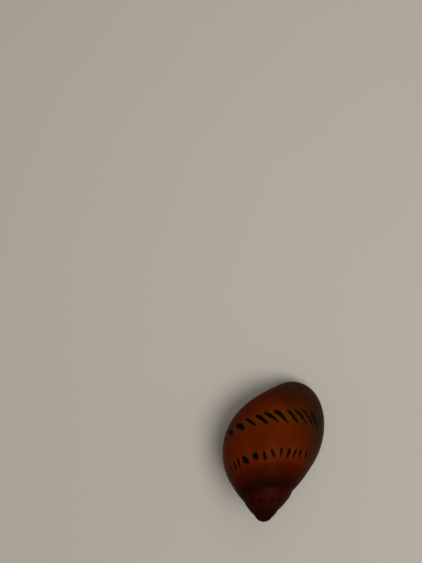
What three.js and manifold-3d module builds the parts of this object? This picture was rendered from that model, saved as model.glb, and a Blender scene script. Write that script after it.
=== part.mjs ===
// A nerite snail at rest, life size, in millimetres: +Z up, head towards -Y, the sole's middle at the origin.
import * as THREE from "three";
import { LoftGeometry } from "three/addons/geometries/LoftGeometry.js";
import { mergeVertices } from "three/addons/utils/BufferGeometryUtils.js";
import Module from "manifold-3d";

const wasm = await Module();
wasm.setup();

const GAP = 0.3;
const DEGREE = Math.PI / 180;
const FAR = 40;

// The shell coils round an axis that falls forward from the apex. Depth runs down it and radius out from it.
const APEX = new THREE.Vector3(-0.1, 12.9, 12.4);
const AXIS_FALL = 33.9;
const AXIS_TO_LEFT = 11;
const SECTION = { radius: 3.6, depth: 17.0, halfWidth: 6.5, halfDepth: 10.15, lean: -8.7, last: 115 };
const SHOULDER = { angle: -36, landing: -9, lap: 1.05, swell: 0.16, steps: 3 };
const RADIAL_GROWTH = 2.05;
const AXIAL_GROWTH = 2.455;
const LAST_WHORL = { from: -0.875, to: 0.275 };
const SECOND_WHORL = { from: -1.875, to: -0.8 };
const APEX_WHORLS = { from: -2.75, to: -1.8 };
const APEX_DOME = { radius: 1.5, halfHeight: 1.38, depth: 1.75 };
const MOUTH_TURNS = { from: -0.5, to: 0.25 };
const FINE = { turn: 40, section: 20 };
const COARSE = { turn: 24, section: 10 };
const CORE = 0.03;
const PILLAR = { top: 0.45, bottom: 1.4, thickness: 3 };
const WALL = 0.7;
const RIM_HEIGHT = 3.0;

// The shelf that closes the left half of the shell's mouth, with a free edge of small teeth.
const SHELF_THICKNESS = 1.1;
const ROOF_HEIGHT = RIM_HEIGHT + SHELF_THICKNESS + GAP;
const SHELF_EDGE = {
  front: [2.6, -7.3], rear: [-2.1, 5.3], hollow: 0.5, teeth: 6, toothHeight: 0.22, stepsPerTooth: 8,
};
const SHELF_OUTLINE = [[-1.2, 6.4], [2.6, 7.6], [5.5, 6.6], [6.8, 4.4], [6.9, 2.0], [6.1, 0.5], [4.3, -1.1],
  [3.75, -2.8], [3.55, -4.3], [3.2, -5.4], [2.9, -6.5]];

// Level rings of the foot, from the sole up into the shell's mouth.
const FOOT_RINGS = [
  { z: 0, front: -7.8, rear: 7.8, halfWidth: 5.2, x: 0, widest: -1.8 },
  { z: 0.25, front: -8.1, rear: 8.15, halfWidth: 5.5, x: 0, widest: -1.8 },
  { z: 0.7, front: -8.05, rear: 8.15, halfWidth: 5.5, x: 0, widest: -1.8 },
  { z: 1.15, front: -7.5, rear: 8.0, halfWidth: 5.15, x: -0.1, widest: -1.6 },
  { z: 1.5, front: -6.7, rear: 7.7, halfWidth: 4.75, x: -0.3, widest: -1.3 },
  { z: 1.75, front: -6.2, rear: 6.8, halfWidth: 4.45, x: -0.5, widest: -1.1 },
  { z: 2.15, front: -5.5, rear: 5.2, halfWidth: 4.0, x: -1.0, widest: -0.8 },
  { z: 2.6, front: -5.0, rear: 4.8, halfWidth: 3.4, x: -1.9, widest: -0.6 },
  { z: 3.05, front: -4.7, rear: 4.5, halfWidth: 2.8, x: -3.2, widest: -0.4 },
  { z: 4.1, front: -4.5, rear: 4.2, halfWidth: 2.6, x: -3.5, widest: -0.4 },
];

const HEAD_STATIONS = [
  { at: [-2.1, -3.4, 2.75], halfWidth: 1.7, halfHeight: 1.15 },
  { at: [-1.7, -4.6, 2.5], halfWidth: 1.85, halfHeight: 1.1 },
  { at: [-1.35, -5.8, 2.2], halfWidth: 2.0, halfHeight: 1.0 },
  { at: [-1.15, -6.9, 1.9], halfWidth: 2.15, halfHeight: 0.92 },
  { at: [-1.05, -7.8, 1.55], halfWidth: 2.05, halfHeight: 0.82 },
  { at: [-1.0, -8.4, 1.3], halfWidth: 1.7, halfHeight: 0.66 },
  { at: [-1.0, -8.75, 1.15], halfWidth: 1.1, halfHeight: 0.42 },
];
const HEAD_SQUARENESS = 0.85;
const MOUTH = { at: [-1.0, -8.45, 0.85], halfWidth: 0.75, halfHeight: 0.36, lip: 0.16, tilt: 40 };
const MOUTH_SLIT = { halfWidth: 0.6, halfHeight: 0.09, depth: 0.5 };

const TENTACLE_STEPS = 5;
const TENTACLE_THICKNESS = { base: 0.86, tip: 0.5 };
const TENTACLES = {
  left: [[0.5, -7.2, 1.95], [1.9, -7.3, 1.9], [3.2, -6.5, 1.85], [4.3, -5.1, 1.8], [5.05, -3.6, 1.8],
    [5.5, -2.2, 1.8]],
  right: [[-2.8, -7.4, 1.9], [-4.0, -7.3, 1.85], [-5.1, -6.4, 1.8], [-5.85, -5.1, 1.75], [-6.3, -3.7, 1.75],
    [-6.5, -2.3, 1.75]],
};
const EYE = { thickness: 0.56, gap: 0.12, stalkThickness: 0.7, stalkLength: 0.95 };
const EYE_STALKS = {
  left: { root: [0.45, -5.75, 2.2], towards: [0.96, -0.26, 0.22] },
  right: { root: [-2.95, -5.7, 2.2], towards: [-0.96, -0.26, 0.22] },
};

const OPERCULUM = {
  x: -0.5, y: 4.8, z: 1.6, halfWidth: 3.7, length: 3.4, thickness: 0.55, corner: 0.9, cornerDepth: 0.5,
};

// How many flats each round form has.
const SIDES = { pillar: 12, dome: 24, foot: 40, head: 24, lips: 24, lipRound: 8, stalk: 14, tentacle: 10 };
const TENTACLE_SOCKET = { stations: 3, sides: 12 };

const SHELL_LOOK = { color: 0x7a3208, roughness: 0.35, metalness: 0 };
const SHELF_LOOK = { color: 0xb8a88a, roughness: 0.4, metalness: 0 };
const FLESH_LOOK = { color: 0x4b4436, roughness: 0.5, metalness: 0 };
const OPERCULUM_LOOK = { color: 0x8c8068, roughness: 0.45, metalness: 0 };
const EYE_LOOK = { color: 0x0a0908, roughness: 0.15, metalness: 0 };

const forward = new THREE.Vector3(Math.sin(AXIS_TO_LEFT * DEGREE), -Math.cos(AXIS_TO_LEFT * DEGREE), 0);
const right = new THREE.Vector3().crossVectors(forward, new THREE.Vector3(0, 0, 1));
const axis = forward.clone().multiplyScalar(Math.cos(AXIS_FALL * DEGREE));
axis.z = -Math.sin(AXIS_FALL * DEGREE);
const back = new THREE.Vector3().crossVectors(right, axis);

// A point of the shell: turn 0 is the right side of the last whorl, and the shell grows with the turn.
function shellPoint(turn, radius, depth) {
  const angle = Math.PI / 2 + 2 * Math.PI * turn;
  return APEX.clone()
    .addScaledVector(axis, depth)
    .addScaledVector(right, radius * Math.sin(angle))
    .addScaledVector(back, radius * Math.cos(angle));
}

// Radius and depth, at turn 0, of an angle round the leaning ellipse of a whorl.
function ellipse(angle) {
  const u = angle * DEGREE;
  const lean = SECTION.lean * DEGREE;
  const across = SECTION.halfWidth * Math.cos(u);
  const along = SECTION.halfDepth * Math.sin(u);
  const radius = SECTION.radius + across * Math.cos(lean) - along * Math.sin(lean);
  const depth = SECTION.depth + across * Math.sin(lean) + along * Math.cos(lean);
  return new THREE.Vector2(radius, depth);
}

// From the shoulder up, a whorl's outline runs nearly straight to the whorl before and laps onto it.
function wholeSection(steps) {
  const start = ellipse(SHOULDER.angle);
  const end = ellipse(SHOULDER.landing).divide(new THREE.Vector2(RADIAL_GROWTH, AXIAL_GROWTH));
  const outward = new THREE.Vector2(Math.cos(SHOULDER.angle * DEGREE), Math.sin(SHOULDER.angle * DEGREE));
  const points = [];
  for (let i = SHOULDER.steps; i > 0; i -= 1) {
    const s = (SHOULDER.lap * i) / SHOULDER.steps;
    const swell = SHOULDER.swell * 4 * s * (SHOULDER.lap - s);
    points.push({ at: start.clone().lerp(end, s).addScaledVector(outward, swell), outward });
  }
  for (let i = 0; i <= steps; i += 1) {
    const angle = SHOULDER.angle + ((SECTION.last - SHOULDER.angle) * i) / steps;
    const facing = new THREE.Vector2(Math.cos(angle * DEGREE), Math.sin(angle * DEGREE));
    points.push({ at: ellipse(angle), outward: facing });
  }
  return points;
}

function whorlSection(turn, inset, steps) {
  const radial = RADIAL_GROWTH ** turn;
  const axial = AXIAL_GROWTH ** turn;
  const points = wholeSection(steps).map(({ at, outward }) => [
    Math.max(2 * CORE * radial, at.x * radial - inset * outward.x),
    at.y * axial - inset * outward.y,
  ]);
  points.unshift([CORE * radial, points[0][1]]);
  points.push([CORE * radial, points[points.length - 1][1]]);
  return points.reverse().map(([radius, depth]) => shellPoint(turn, radius, depth));
}

function manifold(positions, triangles) {
  return new wasm.Manifold(new wasm.Mesh({ numProp: 3, vertProperties: positions, triVerts: triangles }));
}

function solid(geometry) {
  const bare = new THREE.BufferGeometry();
  bare.setAttribute("position", geometry.getAttribute("position"));
  const index = geometry.getIndex();
  if (index) {
    bare.setIndex(index);
  }
  const merged = mergeVertices(bare, 1e-4);
  const positions = new Float32Array(merged.getAttribute("position").array);
  const triangles = new Uint32Array(merged.getIndex().array);
  const made = manifold(positions, triangles);
  if (made.volume() > 0) {
    return made;
  }
  for (let i = 0; i < triangles.length; i += 3) {
    [triangles[i], triangles[i + 1]] = [triangles[i + 1], triangles[i]];
  }
  return manifold(positions, triangles);
}

function loft(sections) {
  return solid(new LoftGeometry(sections, { closed: true, capStart: true, capEnd: true }));
}

// A thin pillar on the coiling axis fills the line that the turns leave open.
function core(turns) {
  const top = PILLAR.top * SECTION.depth * AXIAL_GROWTH ** turns.from;
  const bottom = PILLAR.bottom * SECTION.depth * AXIAL_GROWTH ** turns.to;
  const topRadius = PILLAR.thickness * CORE * RADIAL_GROWTH ** turns.from;
  const bottomRadius = PILLAR.thickness * CORE * RADIAL_GROWTH ** turns.to;
  const geometry = new THREE.CylinderGeometry(topRadius, bottomRadius, bottom - top, SIDES.pillar);
  geometry.applyQuaternion(new THREE.Quaternion().setFromUnitVectors(new THREE.Vector3(0, -1, 0), axis));
  const middle = APEX.clone().addScaledVector(axis, (top + bottom) / 2);
  geometry.translate(middle.x, middle.y, middle.z);
  return solid(geometry);
}

// The turns are built in lengths of half a turn on one grid of steps; each length laps the next by one step.
function whorls(turns, inset = 0, detail = FINE) {
  const first = Math.round(turns.from * detail.turn);
  const last = Math.round(turns.to * detail.turn);
  let made = core(turns);
  for (let start = first; start < last; start += detail.turn / 2) {
    const sections = [];
    for (let step = start; step <= Math.min(last, start + detail.turn / 2 + 1); step += 1) {
      sections.push(whorlSection(step / detail.turn, inset, detail.section));
    }
    made = made.add(loft(sections));
  }
  return made;
}

function largest(made) {
  return made.decompose().sort((a, b) => b.volume() - a.volume())[0];
}

function box(low, high) {
  const geometry = new THREE.BoxGeometry(high[0] - low[0], high[1] - low[1], high[2] - low[2]);
  geometry.translate((low[0] + high[0]) / 2, (low[1] + high[1]) / 2, (low[2] + high[2]) / 2);
  return solid(geometry);
}

function below(z) {
  return box([-FAR, -FAR, -FAR], [FAR, FAR, z]);
}

function prism(outline, low, high) {
  const shape = new THREE.Shape(outline.map(([x, y]) => new THREE.Vector2(x, y)));
  const geometry = new THREE.ExtrudeGeometry(shape, { depth: high - low, bevelEnabled: false });
  geometry.translate(0, 0, low);
  return solid(geometry);
}

// Rounded rings across a path: each station has a middle and its half width and half height.
function tube(stations, grow, sides, squareness = 1) {
  const middles = stations.map((station) => new THREE.Vector3(...station.at));
  const sections = stations.map((station, i) => {
    const before = middles[Math.max(0, i - 1)];
    const after = middles[Math.min(middles.length - 1, i + 1)];
    const along = new THREE.Vector3().subVectors(after, before).normalize();
    const side = new THREE.Vector3(0, 0, 1).cross(along).normalize();
    const up = new THREE.Vector3().crossVectors(along, side);
    const points = [];
    for (let k = 0; k < sides; k += 1) {
      const angle = (2 * Math.PI * k) / sides;
      const across = Math.sign(Math.cos(angle)) * Math.abs(Math.cos(angle)) ** squareness;
      const high = Math.sign(Math.sin(angle)) * Math.abs(Math.sin(angle)) ** squareness;
      const point = middles[i].clone();
      point.addScaledVector(side, across * (station.halfWidth + grow));
      point.addScaledVector(up, high * (station.halfHeight + grow));
      points.push(point);
    }
    return points;
  });
  return loft(sections);
}

// An outline moved outward by a distance, corner by corner.
function grown(outline, distance) {
  return outline.map(([x, y], i) => {
    const before = outline[(i + outline.length - 1) % outline.length];
    const after = outline[(i + 1) % outline.length];
    const normal = new THREE.Vector2(after[1] - before[1], before[0] - after[0]).normalize();
    return [x + normal.x * distance, y + normal.y * distance];
  });
}

function shelfEdge(offset) {
  const front = new THREE.Vector2(...SHELF_EDGE.front);
  const rear = new THREE.Vector2(...SHELF_EDGE.rear);
  const along = new THREE.Vector2().subVectors(rear, front);
  const across = new THREE.Vector2(-along.y, along.x).normalize();
  const points = [];
  const steps = SHELF_EDGE.stepsPerTooth * SHELF_EDGE.teeth;
  for (let i = 0; i <= steps; i += 1) {
    const s = i / steps;
    const tooth = offset === 0 ? Math.max(0, Math.sin(s * SHELF_EDGE.teeth * 2 * Math.PI)) : 0;
    const strength = Math.sin(Math.PI * s) ** 2;
    const hollow = SHELF_EDGE.hollow * Math.sin(Math.PI * s);
    const out = SHELF_EDGE.toothHeight * tooth * strength - hollow + offset;
    points.push([front.x + along.x * s + across.x * out, front.y + along.y * s + across.y * out]);
  }
  return points;
}

// The mouth of the shell: the room between the outer wall and the shelf, as deep as the foot enters it.
function mouthRoom() {
  const edge = shelfEdge(SHELF_EDGE.toothHeight);
  const beside = prism([...edge, [-FAR, FAR], [-FAR, -FAR]], RIM_HEIGHT - 1, ROOF_HEIGHT);
  return whorls(MOUTH_TURNS, WALL, COARSE).intersect(beside);
}

function apexDome() {
  const geometry = new THREE.SphereGeometry(1, SIDES.dome, 14);
  geometry.scale(APEX_DOME.radius, APEX_DOME.halfHeight, APEX_DOME.radius);
  geometry.applyQuaternion(new THREE.Quaternion().setFromUnitVectors(new THREE.Vector3(0, 1, 0), axis));
  const middle = APEX.clone().addScaledVector(axis, APEX_DOME.depth);
  geometry.translate(middle.x, middle.y, middle.z);
  return solid(geometry);
}

// The foot: a broad flat sole with a rounded edge, drawn in to the pillar that enters the shell.
function foot(grow) {
  const sections = FOOT_RINGS.map((ring, i) => {
    const points = [];
    for (let k = 0; k < SIDES.foot; k += 1) {
      const angle = (2 * Math.PI * k) / SIDES.foot;
      const length = Math.sin(angle) > 0 ? ring.rear - ring.widest : ring.widest - ring.front;
      const x = ring.x + (ring.halfWidth + grow) * Math.cos(angle);
      const y = ring.widest + (length + grow) * Math.sin(angle);
      const end = i === 0 ? -grow : i === FOOT_RINGS.length - 1 ? grow : 0;
      points.push(new THREE.Vector3(x, y, ring.z + end));
    }
    return points;
  });
  return loft(sections);
}

function head(grow) {
  const body = tube(HEAD_STATIONS, grow, SIDES.head, HEAD_SQUARENESS);
  if (grow > 0) {
    return body;
  }
  const [x, y, z] = MOUTH.at;
  const lips = new THREE.TorusGeometry(1, MOUTH.lip / MOUTH.halfHeight, SIDES.lipRound, SIDES.lips);
  lips.scale(MOUTH.halfWidth, MOUTH.halfHeight, MOUTH.halfHeight);
  lips.rotateX(MOUTH.tilt * DEGREE);
  lips.translate(x, y, z);
  const slit = new THREE.SphereGeometry(1, 16, 8);
  slit.scale(MOUTH_SLIT.halfWidth, MOUTH_SLIT.halfHeight, MOUTH_SLIT.depth);
  slit.rotateX(MOUTH.tilt * DEGREE);
  slit.translate(x, y, z);
  return body.add(solid(lips)).subtract(solid(slit));
}

// A tentacle's path is smoothed, tapered and cut across its middle, where a gap parts its two lengths.
function tentacleStations(points) {
  const curve = new THREE.CatmullRomCurve3(points.map((point) => new THREE.Vector3(...point)));
  const length = curve.getLength();
  const stations = [];
  for (let i = 0; i <= 2 * TENTACLE_STEPS + 1; i += 1) {
    const half = i <= TENTACLE_STEPS ? 0 : 1;
    const step = half ? i - TENTACLE_STEPS - 1 : i;
    const start = half ? 0.5 + GAP / 2 / length : 0;
    const end = half ? 1 : 0.5 - GAP / 2 / length;
    const s = start + ((end - start) * step) / TENTACLE_STEPS;
    const at = curve.getPointAt(s).toArray();
    const radius = THREE.MathUtils.lerp(TENTACLE_THICKNESS.base, TENTACLE_THICKNESS.tip, s) / 2;
    stations.push({ at, halfWidth: radius, halfHeight: radius });
  }
  return stations;
}

function stalkAxis(side) {
  return new THREE.Vector3(...EYE_STALKS[side].towards).normalize();
}

function eyeStalk(side, grow) {
  const root = new THREE.Vector3(...EYE_STALKS[side].root);
  const along = stalkAxis(side);
  const radius = EYE.stalkThickness / 2 + grow;
  const geometry = new THREE.CapsuleGeometry(radius, EYE.stalkLength, 5, SIDES.stalk);
  geometry.applyQuaternion(new THREE.Quaternion().setFromUnitVectors(new THREE.Vector3(0, 1, 0), along));
  const middle = root.addScaledVector(along, EYE.stalkLength / 2);
  geometry.translate(middle.x, middle.y, middle.z);
  return solid(geometry);
}

function eye(side, grow) {
  const geometry = new THREE.SphereGeometry(EYE.thickness / 2 + grow, SIDES.stalk, 8);
  const reach = EYE.stalkLength + EYE.stalkThickness / 2;
  const middle = new THREE.Vector3(...EYE_STALKS[side].root).addScaledVector(stalkAxis(side), reach);
  geometry.translate(middle.x, middle.y, middle.z);
  return solid(geometry);
}

// The half-moon lid on the tail: a nearly straight front edge and a round rear edge.
function operculum(grow) {
  const shape = new THREE.Shape();
  const halfWidth = OPERCULUM.halfWidth + grow;
  const front = -OPERCULUM.cornerDepth - grow;
  const end = OPERCULUM.length + grow;
  const bulge = OPERCULUM.length * 0.95 + grow;
  shape.moveTo(-halfWidth, grow);
  shape.quadraticCurveTo(-halfWidth, front, -halfWidth + OPERCULUM.corner, front);
  shape.quadraticCurveTo(0, -grow, halfWidth - OPERCULUM.corner, front);
  shape.quadraticCurveTo(halfWidth, front, halfWidth, grow);
  shape.bezierCurveTo(halfWidth * 0.9, bulge, halfWidth * 0.4, end, 0, end);
  shape.bezierCurveTo(-halfWidth * 0.4, end, -halfWidth * 0.9, bulge, -halfWidth, grow);
  const depth = OPERCULUM.thickness + 2 * grow;
  const geometry = new THREE.ExtrudeGeometry(shape, { depth, bevelEnabled: false, curveSegments: 8 });
  geometry.translate(OPERCULUM.x, OPERCULUM.y, OPERCULUM.z - grow);
  return solid(geometry);
}

const snail = new THREE.Group();

function addNode(name, made, look) {
  const mesh = largest(made).getMesh();
  const geometry = new THREE.BufferGeometry();
  geometry.setAttribute("position", new THREE.BufferAttribute(new Float32Array(mesh.vertProperties), 3));
  geometry.setIndex(new THREE.BufferAttribute(new Uint32Array(mesh.triVerts), 1));
  geometry.computeVertexNormals();
  const node = new THREE.Mesh(geometry, new THREE.MeshStandardMaterial(look));
  node.name = name;
  snail.add(node);
}

const lastWhorl = largest(whorls(LAST_WHORL).subtract(below(RIM_HEIGHT)));
const secondWhorl = whorls(SECOND_WHORL).subtract(whorls(LAST_WHORL, -GAP, COARSE));
const earlyTurns = { from: SECOND_WHORL.from, to: LAST_WHORL.to };
const apexWhorls = whorls(APEX_WHORLS, 0, COARSE).add(apexDome()).subtract(whorls(earlyTurns, -GAP, COARSE));
const shelfSlab = prism([...shelfEdge(0), ...SHELF_OUTLINE], RIM_HEIGHT, RIM_HEIGHT + SHELF_THICKNESS);
const shelfRoom = grown([SHELF_EDGE.front, SHELF_EDGE.rear, ...SHELF_OUTLINE], -GAP);
const shelfRecess = prism(shelfRoom, RIM_HEIGHT - 1, ROOF_HEIGHT);
const mouth = mouthRoom().add(shelfRecess);
addNode("shell_last_whorl", lastWhorl.subtract(mouth), SHELL_LOOK);
addNode("shell_second_whorl", secondWhorl, SHELL_LOOK);
addNode("shell_apex", apexWhorls, SHELL_LOOK);
addNode("shell_shelf", shelfSlab, SHELF_LOOK);

const headInFoot = head(GAP);
addNode("foot", foot(0).subtract(headInFoot).subtract(operculum(GAP)), FLESH_LOOK);
addNode("operculum", operculum(0), OPERCULUM_LOOK);

let headSolid = head(0);
for (const side of ["left", "right"]) {
  const path = tentacleStations(TENTACLES[side]).slice(0, TENTACLE_SOCKET.stations);
  headSolid = headSolid.subtract(tube(path, GAP, TENTACLE_SOCKET.sides));
  headSolid = headSolid.subtract(eyeStalk(side, GAP));
}
addNode("head", headSolid, FLESH_LOOK);
for (const side of ["left", "right"]) {
  const path = tentacleStations(TENTACLES[side]);
  const half = path.length / 2;
  addNode(`tentacle_${side}_base`, tube(path.slice(0, half), 0, SIDES.tentacle), FLESH_LOOK);
  addNode(`tentacle_${side}_tip`, tube(path.slice(half), 0, SIDES.tentacle), FLESH_LOOK);
  addNode(`eye_stalk_${side}`, eyeStalk(side, 0).subtract(eye(side, EYE.gap)), FLESH_LOOK);
  addNode(`eye_${side}`, eye(side, 0), EYE_LOOK);
}

export default snail;
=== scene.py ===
import math
import random

import bmesh
import bpy
import numpy as np
from mathutils import Matrix, Vector, noise


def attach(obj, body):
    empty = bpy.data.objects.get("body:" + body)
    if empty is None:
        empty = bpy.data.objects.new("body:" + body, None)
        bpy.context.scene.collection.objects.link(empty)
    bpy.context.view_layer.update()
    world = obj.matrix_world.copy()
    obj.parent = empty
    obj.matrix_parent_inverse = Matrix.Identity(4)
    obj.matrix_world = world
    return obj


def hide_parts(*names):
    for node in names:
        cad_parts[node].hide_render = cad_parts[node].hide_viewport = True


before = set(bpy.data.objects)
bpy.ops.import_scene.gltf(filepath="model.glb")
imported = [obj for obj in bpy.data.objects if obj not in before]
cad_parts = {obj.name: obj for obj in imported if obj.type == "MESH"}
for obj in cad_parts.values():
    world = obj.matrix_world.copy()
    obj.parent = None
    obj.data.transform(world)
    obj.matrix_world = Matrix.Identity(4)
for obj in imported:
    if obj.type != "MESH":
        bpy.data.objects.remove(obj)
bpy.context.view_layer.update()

# All shapes are made in millimetres, in the frame's own axes, and go to metres in place().
MM = 0.001
DEGREE = math.pi / 180
FULL_TURN = 2 * math.pi


# the shell's law of growth

# The coiling axis runs forward and down from the apex, and a little to the snail's left.
APEX = np.array([-0.1, 12.9, 12.4])
AXIS_FALL, AXIS_TO_LEFT = 33.9 * DEGREE, 11 * DEGREE
# How many times as large the shell gets in one turn: off the axis, along it, and in its relief and wall.
RADIAL_GROWTH, AXIAL_GROWTH, SIZE_GROWTH = 2.05, 2.455, 2.2
# The whorl's section at turn 0 is a leaning ellipse. Its middle lies off the axis and down it from the apex.
SECTION_RADIUS, SECTION_DEPTH = 3.6, 17.0
SECTION_HALF_WIDTH, SECTION_HALF_DEPTH = 6.5, 10.15
SECTION_LEAN = -8.7 * DEGREE
# Degrees round the section: 0 is the side away from the axis, and less than 0 is nearer to the apex.
SUTURE_ANGLE, BASE_ANGLE = -100.0, 115.0
SHOULDER_ANGLE, LANDING_ANGLE = -36.0, -9.0
LAP, SHOULDER_BULGE = 1.05, 0.16
BULGE_DIRECTION = np.array([0.8, -0.6])
FIRST_TURN, LAST_TURN = -2.7, 0.27
# The shell ends in a level rim over the floor.
RIM_HEIGHT = 3.0
LIP_FROM_ANGLE, LIP_TO_ANGLE, EARLIEST_LIP = -90, 80, -0.25

FORWARD = np.array([math.sin(AXIS_TO_LEFT), -math.cos(AXIS_TO_LEFT), 0.0])
ACROSS = np.cross(FORWARD, [0.0, 0.0, 1.0])
AXIS = FORWARD * math.cos(AXIS_FALL) - np.array([0, 0, math.sin(AXIS_FALL)])
BACK = np.cross(ACROSS, AXIS)


def ellipse(angle):
    """Radius from the coiling axis and depth along it, at turn 0, of an angle round the leaning ellipse."""
    u = np.asarray(angle, float) * DEGREE
    across, along = SECTION_HALF_WIDTH * np.cos(u), SECTION_HALF_DEPTH * np.sin(u)
    radius = SECTION_RADIUS + across * math.cos(SECTION_LEAN) - along * math.sin(SECTION_LEAN)
    depth = SECTION_DEPTH + across * math.sin(SECTION_LEAN) + along * math.cos(SECTION_LEAN)
    return np.stack([radius, depth], -1)


def section(angle):
    """The whorl's section: from the shoulder up it runs straight to the whorl before and laps onto it."""
    angle = np.asarray(angle, float)
    start = ellipse(SHOULDER_ANGLE)
    end = ellipse(LANDING_ANGLE) / np.array([RADIAL_GROWTH, AXIAL_GROWTH])
    s = np.clip((SHOULDER_ANGLE - angle) / (SHOULDER_ANGLE - SUTURE_ANGLE), 0, 1)[..., None] * LAP
    straight = start + (end - start) * s + BULGE_DIRECTION * (SHOULDER_BULGE * 4 * s * (LAP - s))
    return np.where(angle[..., None] < SHOULDER_ANGLE, straight, ellipse(angle))


def shell_point(turn, angle):
    """Places on the shell for turns of growth and angles round the section, from the suture to the base."""
    turn, angle = np.broadcast_arrays(np.asarray(turn, float), np.asarray(angle, float))
    outline = section(angle)
    radius, depth = outline[..., 0] * RADIAL_GROWTH ** turn, outline[..., 1] * AXIAL_GROWTH ** turn
    way = math.pi / 2 + FULL_TURN * turn
    return (
        APEX
        + depth[..., None] * AXIS
        + (radius * np.sin(way))[..., None] * ACROSS
        + (radius * np.cos(way))[..., None] * BACK
    )


def lip_turn(angle):
    """The turn at which the growing edge meets the plane of the rim, for one angle round the section."""
    steps = np.linspace(EARLIEST_LIP, LAST_TURN, 240)
    under = np.nonzero(shell_point(steps, angle)[:, 2] < RIM_HEIGHT)[0]
    return steps[under[0]] if len(under) else steps[-1]


def turns_from_lip(turn, angle):
    """How many turns of growth lie between a place and the shell's edge, negative behind the edge."""
    known = np.linspace(LIP_FROM_ANGLE, LIP_TO_ANGLE, 35)
    curve = np.polyfit(known, [lip_turn(a) for a in known], 4)
    return turn - np.polyval(curve, np.clip(angle, LIP_FROM_ANGLE, LIP_TO_ANGLE))


# curves and noise

def smooth(edge0, edge1, x):
    """0 at the first edge and 1 at the second, smooth between them."""
    t = np.clip((x - edge0) / (edge1 - edge0), 0, 1)
    return t * t * (3 - 2 * t)


def ridge(x, middle, width):
    """1 at the middle, falling away on both sides."""
    return np.exp(-(((x - middle) / width) ** 2))


def wave_noise(x, seed, octaves=4):
    """A seeded mixture of sines, from -1 to 1, for bands that run along a line."""
    rng = random.Random(seed)
    total, weight = np.zeros_like(np.asarray(x, float)), 0.0
    for octave in range(octaves):
        for _ in range(3):
            frequency = 2 ** octave * rng.uniform(0.7, 1.4)
            total += np.sin(x * frequency * FULL_TURN + rng.uniform(0, 6.28)) / 1.6 ** octave
            weight += 1 / 1.6 ** octave
    return total / weight


def grain(points, scale, seed):
    """Seeded noise in space, from about -1 to 1, at each point."""
    shift = Vector((seed * 7.1, seed * 3.3, seed * 5.7))
    return np.array([noise.noise(Vector(p) * scale + shift) for p in points])


def smooth_path(points, count):
    """A smooth curve through rows of numbers, sampled evenly from the first row to the last."""
    p = np.array(points, float)
    p = np.vstack([2 * p[0] - p[1], p, 2 * p[-1] - p[-2]])
    s = np.linspace(0, len(points) - 1, count)
    i = np.minimum(s.astype(int), len(points) - 2)
    f = (s - i)[:, None]
    a, b, c, d = p[i], p[i + 1], p[i + 2], p[i + 3]
    return 0.5 * (2 * b + (c - a) * f + (2 * a - 5 * b + 4 * c - d) * f**2 + (3 * b - 3 * c + d - a) * f**3)


def bezier(a, b, c, d, count):
    """Points of a cubic curve from a to d, without d."""
    s = np.linspace(0, 1, count, endpoint=False)[:, None]
    a, b, c, d = (np.array(point) for point in (a, b, c, d))
    return a * (1 - s) ** 3 + 3 * b * s * (1 - s) ** 2 + 3 * c * s**2 * (1 - s) + d * s**3


def evenly(line, count):
    """The same closed line in two dimensions, with its points at even distances."""
    step = np.linalg.norm(np.diff(line, axis=0, append=line[:1]), axis=1)
    travelled = np.concatenate([[0], np.cumsum(step)])
    closed = np.vstack([line, line[:1]])
    at = np.linspace(0, travelled[-1], count, endpoint=False)
    return np.column_stack([np.interp(at, travelled, closed[:, k]) for k in (0, 1)])


def unit(vector):
    """The same direction with a length of 1."""
    return np.array(vector) / np.linalg.norm(vector)


# meshes and objects

def grid_faces(rows, columns, closed=False, offset=0):
    """Four-sided faces between the points of a grid, which may close round each row."""
    i, j = np.meshgrid(np.arange(rows - 1), np.arange(columns if closed else columns - 1), indexing="ij")
    after = (j + 1) % columns
    corners = (i * columns + j, i * columns + after, (i + 1) * columns + after, (i + 1) * columns + j)
    return (np.stack(corners, -1).reshape(-1, 4) + offset).tolist()


class Clay:
    """Closed bodies gathered into one mesh, in millimetres."""

    def __init__(self):
        self.points, self.faces = [], []

    def add_rings(self, rings):
        """A body from rings of equally many points, with a face over each end."""
        rings = np.asarray(rings, float)
        rows, columns = rings.shape[:2]
        first = len(self.points)
        self.points += rings.reshape(-1, 3).tolist()
        self.faces += grid_faces(rows, columns, True, first)
        self.faces.append([first + k for k in range(columns)][::-1])
        self.faces.append([first + (rows - 1) * columns + k for k in range(columns)])

    def add_ball(self, middle, radii, rings=24, sides=40):
        down = np.linspace(0.02, math.pi - 0.02, rings)[:, None]
        around = np.linspace(0, FULL_TURN, sides, endpoint=False)[None, :]
        sphere = np.stack(np.broadcast_arrays(
            np.sin(down) * np.cos(around), np.sin(down) * np.sin(around), np.cos(down)), -1)
        self.add_rings(np.asarray(middle) + sphere * np.asarray(radii))

    def mesh(self, name):
        """All the bodies in one mesh, with every face looking outward."""
        mesh = bpy.data.meshes.new(name)
        mesh.from_pydata(self.points, [], self.faces)
        bm = bmesh.new()
        bm.from_mesh(mesh)
        bmesh.ops.recalc_face_normals(bm, faces=bm.faces)
        bm.to_mesh(mesh)
        bm.free()
        return mesh

    def fuse(self, name, voxel, rounds):
        """All the bodies fused into one skin, and softened."""
        piece = add_object(name, self.mesh(name))
        remesh = piece.modifiers.new("remesh", "REMESH")
        remesh.mode, remesh.voxel_size = "VOXEL", voxel
        soften = piece.modifiers.new("soften", "SMOOTH")
        soften.factor, soften.iterations = 0.5, rounds
        return apply_modifiers(piece)


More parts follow.
